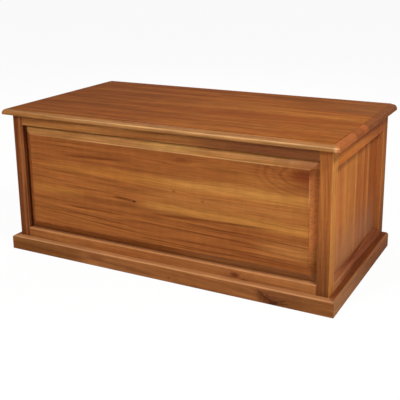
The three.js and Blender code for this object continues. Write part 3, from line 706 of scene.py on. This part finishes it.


# %% [markdown]
# ## The frame
# The posts and rails are straight-grained, and three of the posts are darker towards the floor. Each piece is
# written down as its grain's direction, the direction of its broad face, its four tones and what sets it apart, so
# that one loop can finish them all. The bottom rail has two small knots and a painted highlight along its upper
# edge, and painted shade darkens the top rails along their edges: thin lines under the lid and above the panel at
# the front, and the lid's painted shadow on the right end.

# %% The posts
# painted light: the front right post's side face is painted lighter, as if lit from the right
PAINTED_LIGHT_CHEEK = streak(-0.1, 0.6, 0.5625, 0.0012, 0.6, "c4823e", sharp=0.0006)
# painted light on the rear right post's narrow inner face, which would otherwise lie in shade
PAINTED_LIGHT_REVEAL = streak(-0.1, 0.6, 0.2512, 0.0008, 0.7, "b6703e", sharp=0.0006)
POST_STRIPES = [
    streak(-0.1, 0.6, -0.5505, 0.0022, 0.4, "55270f"),
    streak(-0.1, 0.6, -0.5375, 0.0030, 0.3, "a8683c"),
    streak(-0.1, 0.6, -0.5270, 0.0022, 0.4, "5f2c18"),
]
POSTS = {
    "post_front_left": ("Z", "Y", ("552b13", "774321", "8b532f", "6b371a"),
                        {"fades": [fade(0.4, 0.1, 0.6, "572d15")], "streaks": POST_STRIPES,
                         "gap": 0.006, "strands": 0.2}),
    "post_front_right": ("Z", "Y", ("7a4523", "a0612f", "b5763c", "8f5025"),
                         {"fades": [fade(0.35, 0.05, 0.8, "5c3219")], "streaks": [PAINTED_LIGHT_CHEEK],
                          "gap": 0.006, "figure": 0.65, "strands": 0.2}),
    "post_rear_left": ("Z", "X", ("6c3c1c", "95582c", "a86a38", "84481f"), {}),
    "post_rear_right": ("Z", "X", ("643514", "8a4d21", "9b5e2a", "793e17"),
                        {"fades": [fade(0.3, 0.08, 0.6, "5e3219")], "streaks": [PAINTED_LIGHT_REVEAL]}),
}
print("posts:", len(POSTS))

# %% The rails
REAR_RAIL_TONES = ("6b3b1a", "8f5a2c", "a36c36", "7c4420")
RAIL_KNOTS = [
    knot(0.268, 0.060, 0.011, 2.0, 0.016, 0.9, "5c2a16", rings=1.6, rim=0.35),
    knot(0.300, 0.048, 0.007, 2.4, 0.010, 0.8, "63301a", rim=0.35),
]
# a painted highlight along the bottom rail's rounded upper edge
RAIL_ARRIS_HIGHLIGHT = streak(-0.53, 0.53, 0.0778, 0.0012, 0.3, "d29a6a", sharp=0.0008, fade=0.004)
# painted shade: thin dark lines under the lid and where the top rail meets the panel
RAIL_SHADE_LINES = [
    streak(-0.6, 0.6, height, 0.0009, strength, "3c1e10", sharp=0.0006)
    for height, strength in ((0.4446, 0.85), (0.4803, 0.6))
]
# the lid's painted shadow along the top of the right end's top rail
LID_SHADOW_ON_RAIL = streak(-0.6, 0.6, 0.4745, 0.008, 0.6, "5a2810", sharp=0.005)
RAILS = {
    "rail_front_top": ("X", "Y", ("774522", "9e6836", "b27a42", "8a5028"),
                       {"fades": [fade(0.0, 0.3, 0.8, "6c3c24")], "streaks": RAIL_SHADE_LINES}),
    "rail_front_bottom": ("X", "Y", ("6f3e1e", "8f572d", "a26937", "844822"),
                          {"fades": [fade(-0.1, 0.5, 0.5, "a56c3c")], "knots": RAIL_KNOTS,
                           "streaks": [RAIL_ARRIS_HIGHLIGHT]}),
    "rail_rear_top": ("X", "Y", REAR_RAIL_TONES, {}),
    "rail_rear_bottom": ("X", "Y", REAR_RAIL_TONES, {}),
    "rail_left_top": ("Y", "X", ("82441b", "a65d26", "b56e32", "92491d"), {}),
    "rail_right_top": ("Y", "X", ("8f4e20", "b76a2c", "c67d38", "a15422"),
                       {"fades": [fade(-0.15, 0.2, 0.75, "8a4622")], "streaks": [LID_SHADOW_ON_RAIL]}),
    "rail_left_bottom": ("Y", "X", ("522413", "77391b", "8b4820", "732c16"), {}),
    "rail_right_bottom": ("Y", "X", ("542a1e", "7a4229", "8e532f", "763322"),
                          {"fades": [fade(-0.02, -0.24, 0.75, "ad7148")]}),
}
print("rails:", len(RAILS))

# %% [markdown]
# ## The plinth
# A plinth is the board that gets kicked. It has a dark knot with short cracks near its right end, and a second knot
# beside it, brown stains, a painted highlight along its rounded upper edge at the front, and a thin darker line
# along its foot and along the ledge at the side. Stains are short wide streaks and cracks are steep thin ones, so
# that nothing new is needed for them.

# %% The plinth's boards
# a painted highlight along the plinth's rounded upper edge
PLINTH_ARRIS_HIGHLIGHT = streak(-0.6, 0.6, 0.0466, 0.0012, 0.45, "cd9362", sharp=0.0008)
# a thin darker line on the ledge where the end meets the plinth
DARK_LEDGE_LINE = streak(-0.29, 0.6, 0.0492, 0.001, 0.9, "6c3519", sharp=0.0004, fade=0.02)
# a thin darker line along the plinth's foot
DARK_FOOT_LINE = streak(-0.7, 0.35, 0.0, 0.0014, 0.6, "3c2012", sharp=0.0012, fade=0.15)
PLINTH_KNOTS = [
    knot(0.402, 0.006, 0.016, 1.5, 0.024, 0.85, "4a2610", rings=1.8),
    knot(0.362, 0.032, 0.009, 2.6, 0.014, 0.6, "5a3018", rings=1.4),
]
PLINTH_STAINS = [
    streak(0.352, 0.415, 0.022, 0.018, 0.8, "5a2e18", fade=0.012, slope=-0.35),
    streak(0.385, 0.475, 0.018, 0.030, 0.6, "5e3420", fade=0.025),
    streak(-0.60, -0.28, 0.02, 0.04, 0.85, "603617", fade=0.05),
    streak(0.42, 0.60, 0.02, 0.04, 0.6, "6a3f1e", fade=0.03),
    streak(-0.27, 0.0, 0.022, 0.006, 0.6, "5e3419", slope=-0.05),
    streak(-0.26, -0.20, 0.028, 0.010, 0.5, "65301a", fade=0.02),
    streak(0.045, 0.055, 0.014, 0.0022, 0.7, "4c2410", fade=0.005),
]
PLINTH_CRACKS = [
    streak(start, end, across, 0.0009, 0.8, "32170c", slope=slope, sharp=0.0006, fade=0.004)
    for start, end, across, slope in (
        (0.352, 0.396, 0.038, -0.66), (0.362, 0.396, 0.026, -0.50), (0.378, 0.398, 0.034, -1.20),
        (0.404, 0.440, 0.010, 0.30), (0.404, 0.450, 0.007, 0.08), (0.392, 0.412, 0.006, 0.0),
    )
]
PLINTH = {
    "plinth_front": ("X", "Y", ("6b3f20", "8c5830", "a16c3d", "7d4924"),
                     {"knots": PLINTH_KNOTS,
                      "streaks": PLINTH_STAINS + PLINTH_CRACKS + [PLINTH_ARRIS_HIGHLIGHT, DARK_FOOT_LINE]}),
    "plinth_left": ("Y", "X", ("663918", "855027", "9a6234", "78411d"), {}),
    "plinth_right": ("Y", "X", ("6b3f24", "875632", "99653e", "7b4425"),
                     {"fades": [fade(0.1, -0.25, 0.5, "9c6f4a")], "streaks": [DARK_LEDGE_LINE], "worn": 0.0}),
}
print("plinth boards:", len(PLINTH), "with", len(PLINTH_CRACKS), "cracks")

# %% [markdown]
# ## Inside and ends
# What is inside is paler, because it never saw the sun and got only one coat. The four upright boards in
# each end differ most from each other: the two at the front are golden, the two at the back redder, and
# all are greyer towards the floor. Both ends are written by one loop, because a joiner cuts them alike.

# %% The hidden boards
INNER_TONES = ("a87f50", "bb9260", "c8a272", "b08858")
CLEAT_TONES = ("8a5a30", "a87442", "b98552", "9a6434")
BATTEN_TONES = ("7a4420", "9e5f30", "b37439", "93501f")
BACK = {"panel_rear": ("X", "Y", INNER_TONES, {})}
INSIDE = {
    "floor_sheet": ("X", "Z", INNER_TONES, {}),
    "cleat_front": ("X", "Y", CLEAT_TONES, {}),
    "cleat_rear": ("X", "Y", CLEAT_TONES, {}),
    "cleat_left": ("Y", "X", CLEAT_TONES, {}),
    "cleat_right": ("Y", "X", CLEAT_TONES, {}),
    "lid_batten_left": ("Y", "Z", BATTEN_TONES, {}),
    "lid_batten_right": ("Y", "Z", BATTEN_TONES, {}),
}
print("boards inside:", len(INSIDE))

# %% The boards of the ends
SIDE_TONES = [
    ("8a4b23", "af6731", "c07a40", "9f5223"),
    ("8e5221", "b47031", "c38140", "a35e2b"),
    ("7a3d19", "a45d27", "b87032", "944a21"),
    ("753e1d", "99572c", "ad6a37", "8b4621"),
]
SIDE_FADES = [fade(0.26, 0.06, 0.5, "8c6650")]
PALE_STRIPE = streak(-0.1, 0.6, 0.012, 0.009, 0.6, "c88648")
STRIPED_BOARD = 3

SIDES = {}
for side in ("left", "right"):
    for number, tones in enumerate(SIDE_TONES, start=1):
        stripes = [PALE_STRIPE] if number == STRIPED_BOARD else []
        look = {"figure": 0.65, "fades": SIDE_FADES, "streaks": stripes}
        SIDES[f"side_board_{side}_{number}"] = ("Z", "X", tones, look)
print("end boards:", len(SIDES))

# %% Finish all these boards
BOARDS = {**POSTS, **RAILS, **BACK, **PLINTH, **INSIDE, **SIDES}
HEART_DEPTH = 0.07
HEART_ASIDE = 0.04

for seed, (node, (along, face, tones, more)) in enumerate(BOARDS.items(), start=30):
    low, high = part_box(node)
    across = next(index for index, axis in enumerate(AXES) if axis not in (along, face))
    depth = AXES.index(face)
    inward = -1 if (low[depth] + high[depth]) > 0 else 1
    outside = low[depth] if inward > 0 else high[depth]
    beside = (low[across] + high[across]) / 2 + HEART_ASIDE * (-1) ** seed
    heart = (beside, outside + inward * HEART_DEPTH)
    finished_copy(node, timber(node.replace("_", " "), along, face, tones, seed, heart, **more))
print("boards with their own timber, besides the lid's and the panel:", len(BOARDS))


# %% [markdown]
# ## Brass and steel
# The hinges and the lid stays are brass, their pins and rivets steel. Both are rolled metal that has
# been brushed along its length, so the roughness is drawn out in one direction and the colour only
# varies a little, where hands have dulled it. A plain metal would mirror the room like a tap.

# %% The metals
BRUSH_LINES = (900, 60, 900)
TARNISH_SIZE = 70.0
TARNISH_RANGE = (0.4, 0.7)
BRUSHED_ROUGHNESS = (0.9, 1.15)
BRUSH_STRENGTH, BRUSH_DEPTH = 0.04, 0.00004


def metal(name, base, dulled, roughness):
    """A brushed metal with a slight tarnish."""
    material = bpy.data.materials.new(name)
    graph = Graph(material)
    place = graph.put("ShaderNodeTexCoord", {}, {}).outputs["Object"]
    brushed = graph.put("ShaderNodeMapping", {}, {0: place, 3: BRUSH_LINES}).outputs[0]
    lines = graph.put("ShaderNodeTexNoise", {}, {"Vector": brushed, "Scale": 1.0, "Detail": 2.0}).outputs[0]
    clouds = graph.put("ShaderNodeTexNoise", {}, {"Vector": place, "Scale": TARNISH_SIZE, "Detail": 3.0}).outputs[0]
    tone = graph.mixed(graph.ranged(clouds, *TARNISH_RANGE), colour(base), colour(dulled))
    graph.feed(graph.shader, "Base Color", tone)
    smooth, rough = (roughness * share for share in BRUSHED_ROUGHNESS)
    graph.feed(graph.shader, "Roughness", graph.ranged(lines, *FINE_RANGE, smooth, rough))
    relief = {"Height": lines, "Strength": BRUSH_STRENGTH, "Distance": BRUSH_DEPTH}
    graph.feed(graph.shader, "Normal", graph.put("ShaderNodeBump", {}, relief).outputs[0])
    graph.shader.inputs["Metallic"].default_value = 1.0
    return material


brass = metal("brushed brass", "c6a15c", "a98649", 0.36)
steel = metal("bright steel", "b8b8b6", "9c9c9a", 0.3)
fittings = [node for node in frame["nodes"] if node.startswith(("hinge_", "stay_"))]
for node in fittings:
    finished_copy(node, steel if node.endswith(("pin", "rivet")) else brass)
print("metal pieces:", len(fittings))


# %% [markdown]
# ## Screws
# Hinges, stays and battens are held by countersunk screws with a straight slot. A head is a short disc
# with a rounded rim, and the slot is pressed into its face. One screw is modelled as by hand and then
# copied to every hole, because all the screws of a chest come from one box. Each head stands a hair
# proud of the plate, so that the light catches its rim. The shanks are hidden in the timber and left out.

# %% Model one screw head
HEAD_RADIUS = 0.0029
HEAD_HEIGHT = 0.0012
HEAD_SIDES = 24
RIM_ROUNDING = 0.0004
SLOT_WIDTH = 0.0008
SLOT_DEPTH = 0.0006
SMOOTH_RIM = math.radians(40)
UPWARDS, STRAIGHT_UP = 0.9, 0.99

bpy.ops.object.select_all(action="DESELECT")
bpy.ops.mesh.primitive_cylinder_add(vertices=HEAD_SIDES, radius=HEAD_RADIUS, depth=HEAD_HEIGHT)
screw = bpy.context.object
screw.name = "screw"


def select_faces(piece, wanted):
    """In edit mode, selects the faces that wanted says yes to, and nothing else."""
    bpy.ops.mesh.select_mode(type="FACE")
    bpy.ops.mesh.select_all(action="DESELECT")
    bpy.ops.object.mode_set(mode="OBJECT")
    for face in piece.data.polygons:
        face.select = wanted(face)
    bpy.ops.object.mode_set(mode="EDIT")


bpy.ops.object.mode_set(mode="EDIT")
select_faces(screw, lambda face: face.normal.z > UPWARDS)
bpy.ops.mesh.bevel(offset=RIM_ROUNDING, segments=2)
for side in (-1, 1):
    select_faces(screw, lambda face: face.normal.z > STRAIGHT_UP)
    bpy.ops.mesh.bisect(plane_co=(side * SLOT_WIDTH / 2, 0, 0), plane_no=(1, 0, 0))
select_faces(screw, lambda face: face.normal.z > STRAIGHT_UP and abs(face.center.x) < SLOT_WIDTH / 2)
bpy.ops.mesh.extrude_region_move(TRANSFORM_OT_translate={"value": (0, 0, -SLOT_DEPTH)})
bpy.ops.object.mode_set(mode="OBJECT")
bpy.ops.object.shade_smooth_by_angle(angle=SMOOTH_RIM)
print("one screw head:", len(screw.data.polygons), "faces")

# %% Copy it into a plate
HEAD_PROUD = 0.0003
SINK = HEAD_HEIGHT / 2 - HEAD_PROUD
driven = []


def drive_screw(node, number, place, turn, material):
    """A copy of the screw head, sunk into a measured piece. turn is about the X, Y and Z axis."""
    bpy.ops.object.select_all(action="DESELECT")
    screw.select_set(True)
    bpy.context.view_layer.objects.active = screw
    bpy.ops.object.duplicate()
    head = bpy.context.object
    head.name = f"{node}_screw_{number}"
    head.rotation_euler = turn
    head.location = place
    bpy.ops.object.transform_apply(location=True, rotation=True, scale=False)
    head.data.materials.append(material)
    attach(head, bodies_of_nodes[node])
    driven.append(head.name)


print("a head stands", HEAD_PROUD * 1000, "mm proud")

# %% [markdown]
# Each hinge leaf has three screws, the middle one a little nearer the knuckles. A screw seen from below
# is turned over, and one in a stay's upright plate is laid on its side. No fitter leaves all slots in
# line, so each is turned a little further than the one before. The places are measured from the plates
# themselves, so that a screw can't miss its plate.

# %% The screws of a hinge
LEAF_SCREWS = ((-0.028, 0.0085), (0.0, 0.0065), (0.028, 0.0085))
LEAF_SLOT_TURN = 0.9


def screw_hinge(side):
    """Three screws in each leaf. The box leaf lies on the rear rail, the lid leaf under the last board."""
    box_leaf, lid_leaf = f"hinge_{side}_box_leaf", f"hinge_{side}_lid_leaf"
    low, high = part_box(box_leaf)
    rail_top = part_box("rail_rear_top")[1].z
    lid_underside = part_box("lid_board_5")[0].z
    for number, (along, inset) in enumerate(LEAF_SCREWS, start=1):
        x, y, slot_turn = (low.x + high.x) / 2 + along, low.y + inset, number * LEAF_SLOT_TURN
        drive_screw(box_leaf, number, (x, y, rail_top - SINK), (0, 0, slot_turn), brass)
        drive_screw(lid_leaf, number, (x, y, lid_underside + SINK), (math.pi, 0, slot_turn), brass)


print("screws in a hinge:", 2 * len(LEAF_SCREWS))

# %% The screws of a stay
BOX_PLATE_THICKNESS, BRACKET_THICKNESS = 0.0021, 0.00205
PLATE_SCREW_REACH, BRACKET_SCREW_REACH = 0.0155, 0.015
PLATE_SLOT_TURN, BRACKET_SLOT_TURN = 0.7, 1.3
BRACKET_SHIFT = 0.002


def screw_stay(side):
    """Two screws in the plate on the chest's end, and two in the bracket under the lid."""
    inward = 1 if side == "left" else -1
    plate, bracket = f"stay_{side}_box_plate", f"stay_{side}_lid_bracket"
    low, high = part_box(plate)
    x = (low.x if side == "left" else high.x) + inward * (BOX_PLATE_THICKNESS - SINK)
    for number, reach in enumerate((-PLATE_SCREW_REACH, PLATE_SCREW_REACH), start=1):
        place = (x, (low.y + high.y) / 2, (low.z + high.z) / 2 + reach)
        drive_screw(plate, number, place, (number * PLATE_SLOT_TURN, inward * math.pi / 2, 0), brass)
    low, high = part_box(bracket)
    x = (low.x + high.x) / 2 + inward * BRACKET_SHIFT
    for number, reach in enumerate((-BRACKET_SCREW_REACH, BRACKET_SCREW_REACH), start=1):
        place = (x, (low.y + high.y) / 2 + reach, high.z - BRACKET_THICKNESS + SINK)
        drive_screw(bracket, number, place, (math.pi, 0, number * BRACKET_SLOT_TURN), brass)


print("a stay's plate and bracket have two screws each")

# %% The screws of a batten
BATTEN_END_DISTANCE = 0.03
BATTEN_SLOT_TURN = 0.8


def screw_batten(side):
    """One screw into the middle of each lid board, but not too near the batten's ends."""
    batten = f"lid_batten_{side}"
    low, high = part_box(batten)
    for number in range(1, len(END_TONES) + 1):
        board_low, board_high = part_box(f"lid_board_{number}")
        middle = (board_low.y + board_high.y) / 2
        y = min(max(middle, low.y + BATTEN_END_DISTANCE), high.y - BATTEN_END_DISTANCE)
        place = ((low.x + high.x) / 2, y, low.z + SINK)
        drive_screw(batten, number, place, (math.pi, 0, number * BATTEN_SLOT_TURN), steel)


print("screws in a batten:", len(END_TONES))

# %% Drive all the screws
for side in ("left", "right"):
    screw_hinge(side)
    screw_stay(side)
    screw_batten(side)
bpy.ops.object.select_all(action="DESELECT")
screw.select_set(True)
bpy.ops.object.delete()
print("screws driven:", len(driven))
